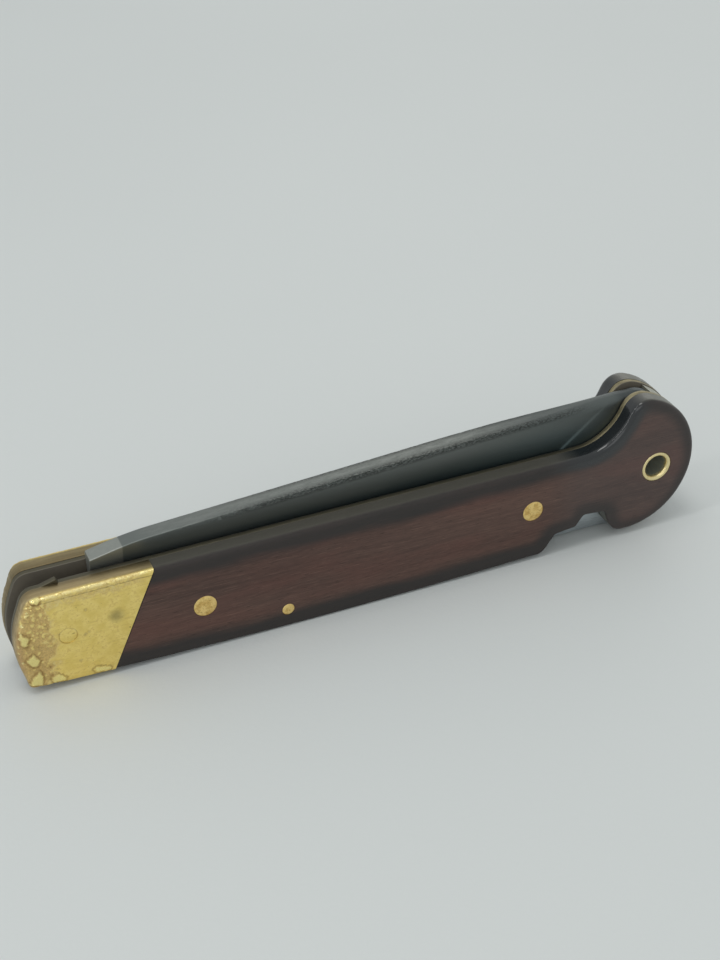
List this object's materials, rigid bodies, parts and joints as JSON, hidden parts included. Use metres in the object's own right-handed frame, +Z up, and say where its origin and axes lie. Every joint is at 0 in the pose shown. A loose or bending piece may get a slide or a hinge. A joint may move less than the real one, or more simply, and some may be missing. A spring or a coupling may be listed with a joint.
{
  "type": "folding pocket knife",
  "caption": "Closed folding pocket knife with a back lock, wooden scales, brass liners and rear bolsters, and a hollow pivot tube for a lanyard.",
  "frame": {"origin": "centre of the closed knife's footprint, on the surface that its back stands on", "axes": "+X along the handle towards the rounded pivot head, +Y across the handle from the left side to the right side, +Z up from the back to the slot that the blade folds into"},
  "size_m": [0.1265, 0.012, 0.0285],
  "materials": {
    "rosewood": "lacquered dark rosewood with fine lengthwise grain",
    "brass_bolster": "brushed and tarnished brass with pitting",
    "brass_liner": "dull filed brass",
    "brass_pin": "ground flush",
    "brass_tube": "polished mouth, tarnished bore",
    "bronze_washer": "rolled shim",
    "blade_steel": "dark forged steel with scale on the spine",
    "lock_steel": "dark satin steel",
    "spring_steel": "blued spring strip"
  },
  "bodies": {
    "handle": {"left_liner": "brass_liner", "right_liner": "brass_liner", "left_scale": "rosewood", "right_scale": "rosewood", "left_bolster": "brass_bolster", "right_bolster": "brass_bolster", "pivot_tube": "brass_tube", "front_pin": "brass_pin", "rear_pin": "brass_pin", "lock_pin": "brass_pin", "bolster_rivet": "brass_bolster", "rear_sleeve": "brass_liner", "rivet_sleeve": "brass_liner", "left_washer": "bronze_washer", "right_washer": "bronze_washer", "lock_spring": "spring_steel"},
    "blade": {"blade": "blade_steel"},
    "lock_bar": {"lock_bar": "lock_steel"}
  },
  "joints": [
    {"name": "blade_pivot", "type": "hinge", "parent": "handle", "child": "blade", "pos_m": [0.0555, 0, 0.0135], "axis": [0, 1, 0], "range_deg": [0, 180]},
    {"name": "lock_rock", "type": "hinge", "parent": "handle", "child": "lock_bar", "pos_m": [-0.0168, 0, 0.0036], "axis": [0, 1, 0], "range_deg": [-1.34, 0], "stiffness_Nm_per_rad": 0.5, "springref_deg": -2.86}
  ]
}
